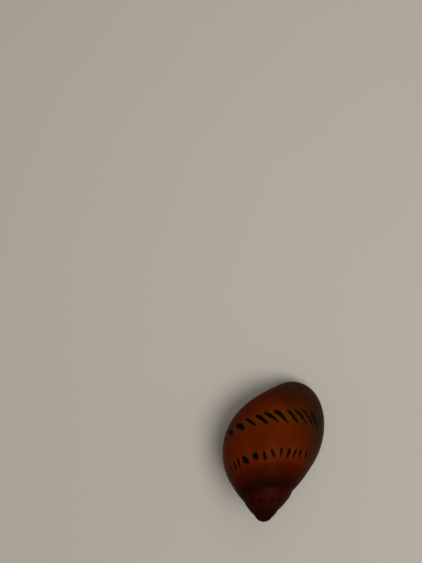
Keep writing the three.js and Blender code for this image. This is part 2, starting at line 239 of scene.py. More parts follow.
def tube_rings(stations, sides=48, squareness=1.0):
    """Rings across a path of stations: x, y, z, half width, half height."""
    stations = np.asarray(stations, float)
    middles = stations[:, :3]
    along = np.gradient(middles, axis=0)
    along /= np.linalg.norm(along, axis=1, keepdims=True)
    side = np.cross([0.0, 0.0, 1.0], along)
    side /= np.linalg.norm(side, axis=1, keepdims=True)
    up = np.cross(along, side)
    angle = np.linspace(0, FULL_TURN, sides, endpoint=False)
    across = np.sign(np.cos(angle)) * np.abs(np.cos(angle)) ** squareness
    high = np.sign(np.sin(angle)) * np.abs(np.sin(angle)) ** squareness
    return (
        middles[:, None]
        + side[:, None] * (across[None, :, None] * stations[:, 3, None, None])
        + up[:, None] * (high[None, :, None] * stations[:, 4, None, None])
    )


def level_ring(outline, height):
    """A flat outline of x and y, laid at one height or at a height for each point."""
    return np.column_stack([outline, np.broadcast_to(height, len(outline))])


def add_object(name, mesh):
    piece = bpy.data.objects.new(name, mesh)
    bpy.context.scene.collection.objects.link(piece)
    return piece


def apply_modifiers(piece):
    bpy.context.view_layer.update()
    graph = bpy.context.evaluated_depsgraph_get()
    mesh = bpy.data.meshes.new_from_object(piece.evaluated_get(graph))
    piece.modifiers.clear()
    piece.data = mesh
    return piece


def mesh_points(mesh):
    points = np.empty(len(mesh.vertices) * 3)
    mesh.vertices.foreach_get("co", points)
    return points.reshape(-1, 3)


def mesh_normals(mesh):
    normals = np.empty(len(mesh.vertices) * 3)
    mesh.vertices.foreach_get("normal", normals)
    return normals.reshape(-1, 3)


def set_points(mesh, points):
    mesh.vertices.foreach_set("co", np.ascontiguousarray(points).ravel())
    mesh.update()


def add_attribute(mesh, name, values):
    attribute = mesh.attributes.new(name, "FLOAT", "POINT")
    attribute.data.foreach_set("value", np.ascontiguousarray(values, dtype=np.float32).ravel())


def place(piece, *nodes, slot):
    """Brings a piece from millimetres to metres and sets it in place of its CAD nodes."""
    piece.data.transform(Matrix.Scale(MM, 4))
    piece.data.polygons.foreach_set("use_smooth", [True] * len(piece.data.polygons))
    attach(piece, "root")
    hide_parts(*nodes)
    return piece


# the shell's ticks

# The newest ticks of the two rows, which the photo shows: turn, angle, slant in turns per degree,
# reach in degrees, half width in turns, and how much wider the front end is.
FRONT_TICKS = (
    (-0.075, 7.6, -0.0019, 5.5, 0.0035, 0.0),
    (-0.097, 8.1, -0.0019, 11.5, 0.0078, 0.2),
    (-0.125, 10.7, -0.0025, 9.6, 0.0060, 0.2),
    (-0.149, 10.1, -0.0026, 10.2, 0.0062, 0.3),
    (-0.181, 12.1, -0.0020, 8.2, 0.0074, -0.1),
    (-0.216, 13.3, -0.0021, 10.2, 0.0076, 0.6),
    (-0.244, 13.5, -0.0026, 9.2, 0.0070, 0.6),
    (-0.277, 14.9, -0.0022, 7.9, 0.0078, 0.0),
    (-0.311, 15.0, -0.0022, 7.6, 0.0068, 0.1),
    (-0.350, 15.1, -0.0019, 7.2, 0.0125, 0.1),
    (-0.399, 17.1, -0.0020, 8.2, 0.0110, 0.4),
)
REAR_TICKS = (
    (-0.080, -29.0, -0.0005, 4.4, 0.0032, 0.0),
    (-0.101, -28.8, -0.0005, 5.0, 0.0048, 0.0),
    (-0.131, -28.8, -0.0003, 5.0, 0.0055, 0.2),
    (-0.154, -29.6, 0.0002, 5.6, 0.0045, 0.1),
    (-0.178, -29.8, 0.0000, 6.2, 0.0056, 0.3),
    (-0.206, -28.0, -0.0002, 5.7, 0.0050, 0.3),
    (-0.235, -28.5, -0.0012, 5.6, 0.0068, 0.1),
    (-0.264, -30.4, -0.0005, 5.6, 0.0070, -0.3),
    (-0.297, -28.9, -0.0008, 5.2, 0.0108, 0.3),
    (-0.341, -28.2, -0.0008, 6.0, 0.0128, -0.2),
    (-0.374, -29.0, -0.0002, 6.4, 0.0050, 0.0),
    (-0.397, -28.4, -0.0004, 7.0, 0.0044, 0.0),
    (-0.429, -28.0, -0.0005, 6.8, 0.0042, 0.0),
)
# Further back the ticks follow evenly: newest turn, oldest turn, spacing, then the rest from the angle on.
TICK_RUNS = (
    (-0.438, -2.30, 0.039, 18.5, -0.0019, 8.2, 0.0094, 0.35),
    (-0.465, -0.80, 0.036, -28.5, -0.0007, 6.6, 0.0038, -0.2),
    (-0.860, -2.30, 0.085, -52.0, -0.0007, 13.0, 0.0190, 0.0),
)
TICK_SEED, TICK_WINDOW, FAR_FROM_TICKS = 7, 0.09, 3.0
SPACING_JITTER, ANGLE_JITTER, SLANT_JITTER, REACH_JITTER, WIDTH_JITTER = 0.12, 0.9, 0.0002, 0.1, 0.15
HALO_REACH, HALO_WIDTH, REAR_HALO = 1.1, 0.16, 0.35


def tick_marks():
    """Every tick of the shell: turn, angle, slant, reach, half width and skew."""
    rng = random.Random(TICK_SEED)
    marks = list(FRONT_TICKS + REAR_TICKS)
    for newest, oldest, spacing, angle, slant, reach, half_width, skew in TICK_RUNS:
        for k in range(int((newest - oldest) / spacing)):
            marks.append((
                newest - spacing * (k + rng.uniform(-SPACING_JITTER, SPACING_JITTER)),
                angle + rng.uniform(-ANGLE_JITTER, ANGLE_JITTER),
                slant + rng.uniform(-SLANT_JITTER, SLANT_JITTER),
                reach * rng.uniform(1 - REACH_JITTER, 1 + REACH_JITTER),
                half_width * rng.uniform(1 - WIDTH_JITTER, 1 + WIDTH_JITTER),
                skew,
            ))
    return marks


def tick_fields(turns, t, u):
    """For each place, its distance from a tick, which is 1 on a tick's edge, and the pale glow round it."""
    tick, halo = np.full_like(t, FAR_FROM_TICKS), np.zeros_like(t)
    for turn, angle, slant, reach, half_width, skew in tick_marks():
        rows = np.nonzero(np.abs(turns - turn) < TICK_WINDOW)[0]
        part = slice(rows[0], rows[-1] + 1)
        a = (u[part] - angle) / reach
        b = (t[part] - turn - slant * (u[part] - angle)) / (half_width * (1 + skew * np.clip(a, -1, 1)))
        tick[part] = np.minimum(tick[part], np.sqrt(np.abs(a) ** 2.4 + np.abs(b) ** 2))
        glow = (REAR_HALO + (1 - REAR_HALO) * (angle > 0)) * smooth(-1.2, -0.8, turn)
        halo[part] = np.maximum(halo[part], glow * np.exp(-HALO_REACH * a * a - HALO_WIDTH * b * b))
    return tick, halo


# the shell

FINER_FROM_TURN, FINEST_FROM_TURN = -1.79, -0.79
SECTION_PLACES = 216
# Growth lines: how many in a turn, height, seed and octaves.
GROWTH_LINES = ((26, 0.016, 3, 4), (75, 0.010, 5, 3))
# The newest strip of the shell stands a step higher than the rest, behind a groove across the front.
NEWEST_STRIP, STRIP_STEP = (-0.083, -0.077), 0.05
GROOVE_TURN, GROOVE_WIDTH, GROOVE_DEPTH = -0.0805, 0.0030, 0.06
REST_LINE_TURN, REST_LINE_WIDTH, REST_LINE_DEPTH = -0.262, 0.003, 0.05
WALL, WALL_BANDS, WALL_BAND_TURNS = 0.65, 20, 0.155
# What the next whorl covers: older than this many turns, and this many degrees past its landing.
BURIED_TURNS, BURIED_MARGIN = 1.03, 8
DOME_RADIUS, DOME_HALF_HEIGHT, DOME_DEPTH = 1.5, 1.38, 1.75
# What the shell's material reads from the mesh, as it stands on the dome at the tip.
DOME_FIELDS = {"tick": FAR_FROM_TICKS, "halo": 0.0, "growth": -2.9, "turn": FIRST_TURN, "section": 0.0}


def shell_turns():
    """The grid's turns, closer together towards the mouth."""
    return np.concatenate([
        np.linspace(FIRST_TURN, FINER_FROM_TURN, 140, endpoint=False),
        np.linspace(FINER_FROM_TURN, FINEST_FROM_TURN, 300, endpoint=False),
        np.linspace(FINEST_FROM_TURN, LAST_TURN, 620),
    ])


def shell_normals(points, turns):
    """Directions out of the shell at each place of the grid."""
    normals = np.cross(np.gradient(points, axis=1), np.gradient(points, turns, axis=0))
    normals /= np.linalg.norm(normals, axis=2, keepdims=True)
    outward = points - (APEX + 0.7 * np.linalg.norm(points - APEX, axis=2, keepdims=True) * AXIS)
    return -normals if np.sum(normals * outward) < 0 else normals


def shell_relief(growth, u):
    """Growth lines, the step and groove of the newest strip, and the line of an older rest."""
    lines = sum(
        height * wave_noise(growth * count, seed, octaves)
        for count, height, seed, octaves in GROWTH_LINES
    )
    in_front = smooth(18, 42, u) * smooth(78, 55, u)
    step = STRIP_STEP * smooth(*NEWEST_STRIP, growth)
    groove = GROOVE_DEPTH * ridge(growth, GROOVE_TURN, GROOVE_WIDTH)
    rest = REST_LINE_DEPTH * ridge(growth, REST_LINE_TURN, REST_LINE_WIDTH) * smooth(20, 60, u)
    return lines + in_front * (step - groove) - rest


def trim_shell(mesh, buried):
    """Drops the buried places and all that lies under the rim, and turns the faces outward."""
    bm = bmesh.new()
    bm.from_mesh(mesh)
    bm.verts.ensure_lookup_table()
    bmesh.ops.delete(bm, geom=[bm.verts[k] for k in np.nonzero(buried.ravel())[0]], context="VERTS")
    bmesh.ops.bisect_plane(
        bm, geom=bm.verts[:] + bm.edges[:] + bm.faces[:], dist=1e-6,
        plane_co=(0, 0, RIM_HEIGHT), plane_no=(0, 0, 1), clear_inner=True,
    )
    bm.normal_update()
    bm.faces.ensure_lookup_table()
    top = max(bm.faces, key=lambda face: face.calc_center_median().z)
    if top.normal.z < 0:
        bmesh.ops.reverse_faces(bm, faces=bm.faces[:])
    bm.to_mesh(mesh)
    bm.free()


def thicken_shell(piece):
    """Gives the shell its wall, thinner in the older turns, with a material of its own inside."""
    turn = np.empty(len(piece.data.vertices), dtype=np.float32)
    piece.data.attributes["turn"].data.foreach_get("value", turn)
    group = piece.vertex_groups.new(name="thickness")
    for k in range(WALL_BANDS):
        low, high = FIRST_TURN + k * WALL_BAND_TURNS, FIRST_TURN + (k + 1) * WALL_BAND_TURNS
        chosen = np.nonzero((turn >= low - 1e-4) & (turn < high))[0].tolist()
        group.add(chosen, min(1.0, SIZE_GROWTH ** ((low + high) / 2 + 0.1)), "REPLACE")
    wall = piece.modifiers.new("wall", "SOLIDIFY")
    wall.thickness, wall.offset, wall.use_even_offset = WALL, -1.0, False
    wall.vertex_group = group.name
    wall.material_offset = 1
    return apply_modifiers(piece)


def build_dome():
    """The round tip, which closes the first turn."""
    dome = Clay()
    dome.add_ball((0, 0, 0), (DOME_RADIUS, DOME_RADIUS, DOME_HALF_HEIGHT), 80, 120)
    turned = np.array(dome.points) @ np.array([ACROSS, BACK, AXIS])
    dome.points = (APEX + DOME_DEPTH * AXIS + turned).tolist()
    mesh = dome.mesh("dome")
    for name, value in DOME_FIELDS.items():
        add_attribute(mesh, name, np.full(len(mesh.vertices), value))
    return mesh


def join_meshes(mesh, other):
    """Adds the other mesh, with its fields, to the first."""
    bm = bmesh.new()
    bm.from_mesh(mesh)
    bm.from_mesh(other)
    bm.to_mesh(mesh)
    bm.free()


def build_shell():
    """The shell, and its outer grid of places, which the shelf and the mantle are fitted to."""
    turns = shell_turns()
    t, u = np.meshgrid(turns, np.linspace(SUTURE_ANGLE, BASE_ANGLE, SECTION_PLACES), indexing="ij")
    points = shell_point(t, u)
    growth = turns_from_lip(t, u)
    relief = shell_relief(growth, u) * SIZE_GROWTH ** t
    points += shell_normals(points, turns) * relief[..., None]
    tick, halo = tick_fields(turns, t, u)

    mesh = bpy.data.meshes.new("shell")
    mesh.from_pydata(points.reshape(-1, 3).tolist(), [], grid_faces(*t.shape))
    fields = {"tick": tick, "halo": halo, "growth": growth, "turn": t, "section": u / 100}
    for name, values in fields.items():
        add_attribute(mesh, name, values)
    buried = (t < LAST_TURN - BURIED_TURNS) & (u > LANDING_ANGLE + BURIED_MARGIN)
    trim_shell(mesh, buried)
    piece = thicken_shell(add_object("shell", mesh))
    join_meshes(piece.data, build_dome())
    place(piece, "shell_last_whorl", "shell_second_whorl", "shell_apex", slot="shell")
    return piece, np.where(buried[..., None], np.nan, points)


# the inside of the rim

RIM_MIDDLE = np.array([-0.5, 0.0])


def rim_outline(shell_grid, height, count=360):
    """The outer outline of the shell at one height, as distances round a middle point, degree by degree."""
    z = shell_grid[:, :, 2] - height
    crossings = []
    for low, high, a, b in (
        (shell_grid[:-1], shell_grid[1:], z[:-1], z[1:]),
        (shell_grid[:, :-1], shell_grid[:, 1:], z[:, :-1], z[:, 1:]),
    ):
        hit = (a * b) < 0
        f = (a[hit] / (a[hit] - b[hit]))[:, None]
        crossings.append((low[hit] * (1 - f) + high[hit] * f)[:, :2])
    found = np.vstack(crossings) - RIM_MIDDLE
    bins = (np.arctan2(found[:, 1], found[:, 0]) / FULL_TURN * count).astype(int) % count
    reach = np.zeros(count)
    np.maximum.at(reach, bins, np.linalg.norm(found, axis=1))
    known = np.nonzero(reach)[0]
    return np.interp(np.arange(count), known, reach[known], period=count)


def rim_points(shell_grid, heights, from_degree, to_degree, inset, count):
    """Points inside the shell at both of two heights, between two directions from the rim's middle."""
    ways = np.linspace(from_degree, to_degree, count)
    reach = np.minimum(*(rim_outline(shell_grid, height) for height in heights))
    reach = np.interp(ways % 360, np.arange(360), reach, period=360) - inset
    return RIM_MIDDLE + np.stack([np.cos(ways * DEGREE), np.sin(ways * DEGREE)], -1) * reach[:, None]


# the shelf in the shell's mouth

SHELF_FRONT, SHELF_REAR = np.array([2.62, -7.45]), np.array([-2.5, 6.3])
SHELF_THICKNESS, SHELF_INSET, SHELF_HOLLOW = 1.1, 0.40, 0.55
SHELF_FROM_DEGREE, SHELF_TO_DEGREE = 106, -66
TEETH, TOOTH_HEIGHT, TEETH_START, TEETH_RUN = 6, 0.24, 0.10, 0.74
SHELF_VOXEL, SHELF_SOFTENING = 0.08, 5
SWELL_PLACE, SWELL_REACH, SWELL_DEPTH, SHELF_WAVES = (3.6, 1.8), (2.4, 4.2), 0.10, 0.02

ALONG_EDGE = SHELF_REAR - SHELF_FRONT
ACROSS_EDGE = np.array([-ALONG_EDGE[1], ALONG_EDGE[0]]) / np.linalg.norm(ALONG_EDGE)


def shelf_edge():
    """The free edge, slightly hollow, with low teeth that fade towards both ends."""
    steps = np.linspace(0, 1, 220)
    run = np.clip((steps - TEETH_START) / TEETH_RUN, 0, 1)
    teeth = np.maximum(0, np.sin(run * TEETH * FULL_TURN)) * np.sin(math.pi * run) ** 2
    out = -SHELF_HOLLOW * np.sin(math.pi * steps) + TOOTH_HEIGHT * teeth
    return SHELF_FRONT + ALONG_EDGE * steps[:, None] + ACROSS_EDGE * out[:, None]


def build_shelf(shell_grid):
    """The plate that closes the left half of the mouth, with a low swelling underneath."""
    low, high = RIM_HEIGHT, RIM_HEIGHT + SHELF_THICKNESS
    rim = rim_points(shell_grid, (low + 0.02, high), SHELF_FROM_DEGREE, SHELF_TO_DEGREE, SHELF_INSET, 260)
    outline = np.vstack([shelf_edge(), rim])
    clay = Clay()
    clay.add_rings([level_ring(outline, z) for z in (low, high)])
    shelf = clay.fuse("shelf", SHELF_VOXEL, SHELF_SOFTENING)
    p = mesh_points(shelf.data)
    from_edge = (p[:, :2] - SHELF_FRONT) @ ACROSS_EDGE
    swell = np.exp(-np.sum(((p[:, :2] - SWELL_PLACE) / SWELL_REACH) ** 2, axis=1))
    waves = wave_noise(from_edge * 0.35 + 0.03 * p[:, 1], 11, 3)
    p[:, 2] -= smooth(3.6, 3.2, p[:, 2]) * (SWELL_DEPTH * swell + SHELF_WAVES * waves)
    set_points(shelf.data, p)
    add_attribute(shelf.data, "inward", from_edge)
    return place(shelf, "shell_shelf", slot="shelf")


# the operculum

OPERCULUM_PLACE = np.array([-0.5, 4.8, 1.6])
OPERCULUM_HALF_WIDTH, OPERCULUM_LENGTH, OPERCULUM_THICKNESS = 3.7, 3.4, 0.55
OPERCULUM_SIDES, OPERCULUM_TURNS = 360, 9
NUCLEUS = np.array([2.2, 0.6])
EDGE_FALL, MIDDLE_FALL, SPIRAL_HEIGHT, RING_HEIGHT = 0.14, 0.10, 0.014, 0.010
# The underside, as shares of the outline and heights.
OPERCULUM_UNDERSIDE = ((1.0, 0.16), (0.985, 0.05), (0.5, 0.0), (0.01, 0.0))


def operculum_outline():
    """The half-moon outline: a nearly straight front edge, two rounded corners and the round rear edge."""
    w, length = OPERCULUM_HALF_WIDTH, OPERCULUM_LENGTH
    curves = [
        ((-w, 0.0), (-w, -0.45), (-w + 0.4, -0.5), (-w + 0.9, -0.5)),
        ((-w + 0.9, -0.5), (-1.2, -0.2), (1.2, -0.2), (w - 0.9, -0.5)),
        ((w - 0.9, -0.5), (w - 0.4, -0.5), (w, -0.45), (w, 0.0)),
        ((w, 0.0), (w * 0.9, length * 0.95), (w * 0.4, length), (0.0, length)),
        ((0.0, length), (-w * 0.4, length), (-w * 0.9, length * 0.95), (-w, 0.0)),
    ]
    return evenly(np.vstack([bezier(*curve, 80) for curve in curves]), OPERCULUM_SIDES)


def operculum_top(share, way):
    """The height of a ring of the top: a low crown with fine spiral and ring lines round the nucleus."""
    crown = OPERCULUM_THICKNESS - EDGE_FALL * smooth(0.8, 1.0, share) ** 2 - MIDDLE_FALL * (1 - share)
    spiral = SPIRAL_HEIGHT * np.sin((share * OPERCULUM_TURNS + way / FULL_TURN) * FULL_TURN)
    return crown + spiral + RING_HEIGHT * wave_noise(np.full(OPERCULUM_SIDES, share * 7), 4, 3)


def build_operculum():
    """The lid, from its top round the edge to its flat underside."""
    outline = operculum_outline() - NUCLEUS
    way = np.arctan2(outline[:, 1], outline[:, 0])
    rings = [(share, operculum_top(share, way)) for share in np.linspace(0.004, 1, 90)]
    rings += OPERCULUM_UNDERSIDE
    middle = OPERCULUM_PLACE[:2] + NUCLEUS
    clay = Clay()
    low = OPERCULUM_PLACE[2]
    clay.add_rings([level_ring(middle + outline * share, low + height) for share, height in rings])
    mesh = clay.mesh("operculum_plate")
    add_attribute(mesh, "ring", np.repeat([share for share, height in rings], OPERCULUM_SIDES))
    return place(add_object("operculum_plate", mesh), "operculum", slot="operculum")


# the bodies of the flesh

# Level rings of the foot: height, front, rear, half width, middle, widest place.
FOOT_RINGS = [
    (0.00, -7.80, 7.80, 5.20, 0.0, -1.8),
    (0.25, -8.10, 8.15, 5.50, 0.0, -1.8),
    (0.70, -8.05, 8.15, 5.50, 0.0, -1.8),
    (1.15, -7.50, 8.00, 5.15, -0.1, -1.6),
    (1.50, -6.70, 7.70, 4.75, -0.3, -1.3),
    (1.75, -6.20, 6.80, 4.45, -0.5, -1.1),
    (2.15, -5.50, 5.20, 4.00, -1.0, -0.8),
    (2.60, -5.00, 4.80, 3.40, -1.9, -0.6),
    (3.05, -4.70, 4.50, 2.80, -3.2, -0.4),
    (4.60, -4.50, 4.20, 2.60, -3.5, -0.4),
]
FOOT_SIDES, SOLE_RIPPLES, RIPPLE_SHARE = 240, 7, 0.022
# The head from the neck to the snout: place, half width, half height.
HEAD_STATIONS = [
    (-2.10, -3.40, 2.75, 1.70, 1.15),
    (-1.70, -4.60, 2.50, 1.85, 1.10),
    (-1.35, -5.80, 2.20, 2.00, 1.00),
    (-1.15, -6.90, 1.90, 2.15, 0.92),
    (-1.05, -7.80, 1.55, 2.05, 0.82),
    (-1.00, -8.40, 1.30, 1.70, 0.66),
    (-1.00, -8.75, 1.15, 1.10, 0.42),
]
HEAD_SQUARENESS = 0.85
MOUTH_PLACE, MOUTH_TILT = np.array([-1.0, -8.45, 0.85]), 40 * DEGREE
MOUTH_HALF_WIDTH, MOUTH_HALF_HEIGHT, LIP = 0.75, 0.36, 0.16
# Places along each feeler, from its root on the head back to its tip.
TENTACLES = {
    "left": [
        (0.5, -7.2, 1.95), (1.9, -7.3, 1.9), (3.2, -6.5, 1.85),
        (4.3, -5.1, 1.8), (5.05, -3.6, 1.8), (5.5, -2.2, 1.8),
    ],
    "right": [
        (-2.8, -7.4, 1.9), (-4.0, -7.3, 1.85), (-5.1, -6.4, 1.8),
        (-5.85, -5.1, 1.75), (-6.3, -3.7, 1.75), (-6.5, -2.3, 1.75),
    ],
}
TENTACLE_PLACES, TENTACLE_ROOT, TENTACLE_TAPER = 90, 0.39, 0.21
RING_RADIANS, RING_SHARE = 75, 0.035
SOCKET_AT, SOCKET = 8, (0.62, 0.55, 0.50)
# Where each eye stalk leaves the head, and the way it points.
EYE_STALKS = {
    "left": ((0.45, -5.75, 2.2), (0.96, -0.26, 0.22)),
    "right": ((-2.95, -5.7, 2.2), (-0.96, -0.26, 0.22)),
}
EYE_RADIUS, STALK_RADIUS, STALK_LENGTH, STALK_SUNK = 0.28, 0.35, 0.95, 0.3
MANTLE_LOW, MANTLE_HIGH, MANTLE_INSET, MANTLE_LAP = 4.25, 5.0, 0.45, 0.4
MANTLE_FROM_DEGREE, MANTLE_TO_DEGREE = 114, 293


def add_foot(clay):
    """The foot from its flat sole up into the shell, with a slightly wavy edge."""
    stations = smooth_path(FOOT_RINGS, 70)
    stations[:, 0] = np.maximum(stations[:, 0], 0)
    angle = np.linspace(0, FULL_TURN, FOOT_SIDES, endpoint=False)
    ripple = wave_noise(angle * SOLE_RIPPLES / FULL_TURN, 21, 3)
    rings = []
    for z, front, rear, half_width, x, widest in stations:
        length = np.where(np.sin(angle) > 0, rear - widest, widest - front)
        wavy = 1 + RIPPLE_SHARE * ripple * smooth(1.6, 0.8, z) * smooth(-0.1, 0.25, z)
        outline = [x + half_width * wavy * np.cos(angle), widest + length * wavy * np.sin(angle)]
        rings.append(level_ring(np.column_stack(outline), z))
    clay.add_rings(rings)


def add_head(clay):
    """The neck and the broad, low snout."""
    clay.add_rings(tube_rings(smooth_path(HEAD_STATIONS, 60), 96, HEAD_SQUARENESS))


def add_lips(clay):
    """A ring of lips that stands out of the snout, in a plane that rises towards the back."""
    ways = np.linspace(0, FULL_TURN, 96), np.linspace(0, FULL_TURN, 32, endpoint=False)
    round_mouth, round_lip = np.meshgrid(*ways, indexing="ij")
    swell = 1 + LIP / MOUTH_HALF_HEIGHT * np.cos(round_lip)
    across = swell * np.cos(round_mouth) * MOUTH_HALF_WIDTH
    up = swell * np.sin(round_mouth) * MOUTH_HALF_HEIGHT
    out = LIP * np.sin(round_lip)
    back = up * math.cos(MOUTH_TILT) - out * math.sin(MOUTH_TILT)
    high = up * math.sin(MOUTH_TILT) + out * math.cos(MOUTH_TILT)
    clay.add_rings(np.stack([across, back, high], -1) + MOUTH_PLACE)


def add_tentacle(clay, points):
    """One ringed, tapering feeler with its socket on the head. Returns the path of its middle."""
    path = smooth_path(points, TENTACLE_PLACES)
    s = np.linspace(0, 1, TENTACLE_PLACES)
    blunt_tip = np.sqrt(np.clip(1.02 - s**14, 0.02, 1))
    ringed = 1 + RING_SHARE * np.sin(s * RING_RADIANS)
    radius = (TENTACLE_ROOT - TENTACLE_TAPER * s) * blunt_tip * ringed
    clay.add_rings(tube_rings(np.column_stack([path, radius, radius]), 40))
    clay.add_ball(path[SOCKET_AT], SOCKET)
    return path


def add_eye_stalk(clay, root, towards):
    """A short, tapering row of balls."""
    for s in np.linspace(-STALK_SUNK, STALK_LENGTH, 22):
        clay.add_ball(np.array(root) + unit(towards) * s, [STALK_RADIUS * (1.12 - 0.16 * s)] * 3, 20, 28)


def add_mantle(clay, shell_grid):
    """The plate of flesh that closes the right half, a little higher than the shelf and out to the wall."""
    levels = (MANTLE_LOW, MANTLE_HIGH)
    rim = rim_points(shell_grid, levels, MANTLE_FROM_DEGREE, MANTLE_TO_DEGREE, MANTLE_INSET, 240)
    lap = MANTLE_LAP * ACROSS_EDGE
    outline = np.vstack([rim, SHELF_FRONT - lap, SHELF_REAR - lap])
    clay.add_rings([level_ring(outline, z) for z in levels])


# the skin over the flesh

SKIN_VOXEL, SKIN_SOFTENING = 0.065, 8
HEAD_X = -1.0
FINE_GRAIN, COARSE_GRAIN, PIMPLES, CREASES, SIDE_FOLDS = 0.032, 0.045, 0.05, 0.055, 0.012
SIDE_FOLD_COUNT = 62
# The feelers lie over a height and in front of a place. Beside them the skin is calmer.
FEELERS_OVER, FEELERS_BEFORE, FEELER_REACH, FEELER_CALM = 1.2, -1.0, 0.55, 0.75
CALM_UNDER, RINGED_UNDER = 2.6, 2.8
# The last of these is the push over the slit at which its painted shade is full.
LIP_PUSH, SLIT_HALF_HEIGHT, SLIT_SHARE, SLIT_FOR_FULL_SHADE = 0.30, 0.10, 0.9, 0.22
LIPS_REACH, LIPS_UP, LIPS_OUT = 1.4, 0.6, 0.8
SOLE_UNDER = 0.05


def distances_to_path(p, path, top):
    """The points beside a feeler, up to a height, and their distances to places along the feeler's path."""
    beside = np.nonzero((p[:, 2] > FEELERS_OVER) & (p[:, 2] < top) & (p[:, 1] < FEELERS_BEFORE))[0]
    return beside, np.linalg.norm(p[beside, None] - path[None, ::3], axis=2)


def skin_relief(p, paths):
    """How far the skin stands out: grain, pimples, creases on the head, and folds round the foot."""
    fine = grain(p, 2.6, 1)
    coarse = grain(p, 0.9, 2)
    pimples = np.maximum(0, grain(p, 4.5, 3) - 0.1)
    beside_middle = np.abs(p[:, 0] - HEAD_X)
    on_head = smooth(-5.0, -6.2, p[:, 1]) * smooth(1.9, 1.5, beside_middle) * smooth(1.0, 1.7, p[:, 2])
    creases = np.abs(np.sin(p[:, 1] * 5.6 + 1.1 * beside_middle + 2.0 * coarse)) ** 0.5 - 0.75
    folds = np.sin(np.arctan2(p[:, 1], p[:, 0]) * SIDE_FOLD_COUNT + 3.0 * coarse)
    folds *= smooth(0.5, 0.9, p[:, 2]) * (1 - on_head)
    near_feeler = np.zeros(len(p))
    for path in paths:
        beside, gaps = distances_to_path(p, path, CALM_UNDER)
        near_feeler[beside] = np.maximum(near_feeler[beside], smooth(0.75, 0.5, gaps.min(axis=1)))
    relief = FINE_GRAIN * fine + COARSE_GRAIN * coarse + PIMPLES * pimples
    relief += CREASES * on_head * creases + SIDE_FOLDS * folds
    return smooth(0.15, 0.6, p[:, 2]) * (1 - FEELER_CALM * near_feeler) * relief


def mouth_places(p):
    """Places in the plane of the lips: across it, up it, and out of it."""
    across, back, high = (p - MOUTH_PLACE).T
    up = back * math.cos(MOUTH_TILT) + high * math.sin(MOUTH_TILT)
    out = -back * math.sin(MOUTH_TILT) + high * math.cos(MOUTH_TILT)
    return across, up, out


def mouth_slit(across, up, out):
    """How far the upper lip is pushed over the slit of the mouth."""
    inside = np.clip(1 - (across / (SLIT_SHARE * MOUTH_HALF_WIDTH)) ** 2, 0, 1)
    return LIP_PUSH * ridge(up, 0, SLIT_HALF_HEIGHT) * inside * (np.abs(out) < 0.8) * (out < 0.3)


def feeler_places(p, paths):
    """How far along a feeler each point lies, from 0 to 1, and -1 off the feelers."""
    feeler = np.full(len(p), -1.0)
    for path in paths:
        beside, gaps = distances_to_path(p, path, RINGED_UNDER)
        hit = gaps.min(axis=1) < FEELER_REACH
        feeler[beside[hit]] = gaps.argmin(axis=1)[hit] / gaps.shape[1]
    return feeler


def build_skin(shell_grid):
    """One skin over the foot, the head, the feelers, the eye stalks and the mantle."""
    clay = Clay()
    add_foot(clay)
    add_head(clay)
    add_lips(clay)
    paths = [add_tentacle(clay, points) for points in TENTACLES.values()]
    for root, towards in EYE_STALKS.values():
        add_eye_stalk(clay, root, towards)
    add_mantle(clay, shell_grid)
    skin = clay.fuse("skin", SKIN_VOXEL, SKIN_SOFTENING)
    p = mesh_points(skin.data)
    p += mesh_normals(skin.data) * skin_relief(p, paths)[:, None]
    across, up, out = mouth_places(p)
    slit = mouth_slit(across, up, out)
    p += np.array([0, -math.sin(MOUTH_TILT), math.cos(MOUTH_TILT)]) * slit[:, None]
    p[p[:, 2] < SOLE_UNDER, 2] = 0.0
    set_points(skin.data, p)
    add_attribute(skin.data, "feeler", feeler_places(p, paths))
    from_lips = np.sqrt(across ** 2 + (up / LIPS_UP) ** 2 + (out / LIPS_OUT) ** 2)
    add_attribute(skin.data, "lip", np.clip(LIPS_REACH - from_lips, 0, 1))
    # The mask of painted shade along the mouth's slit.
    add_attribute(skin.data, "mouth", np.clip(slit / SLIT_FOR_FULL_SHADE, 0, 1))
    add_attribute(skin.data, "height", p[:, 2])
    return place(
        skin, "foot", "head", "tentacle_left_base", "tentacle_left_tip", "tentacle_right_base",
        "tentacle_right_tip", "eye_stalk_left", "eye_stalk_right", slot="flesh",
    )


def build_eye(side):
    """The round black eye on the end of its stalk."""
    root, towards = EYE_STALKS[side]
    ball = Clay()
    middle = np.array(root) + unit(towards) * (STALK_LENGTH + STALK_RADIUS)
    ball.add_ball(middle, [EYE_RADIUS] * 3, 60, 90)
    name = "eyeball_" + side
    return place(add_object(name, ball.mesh(name)), "eye_" + side, slot="eye")


# materials

def rgb(r, g, b):
    return (r, g, b, 1.0)


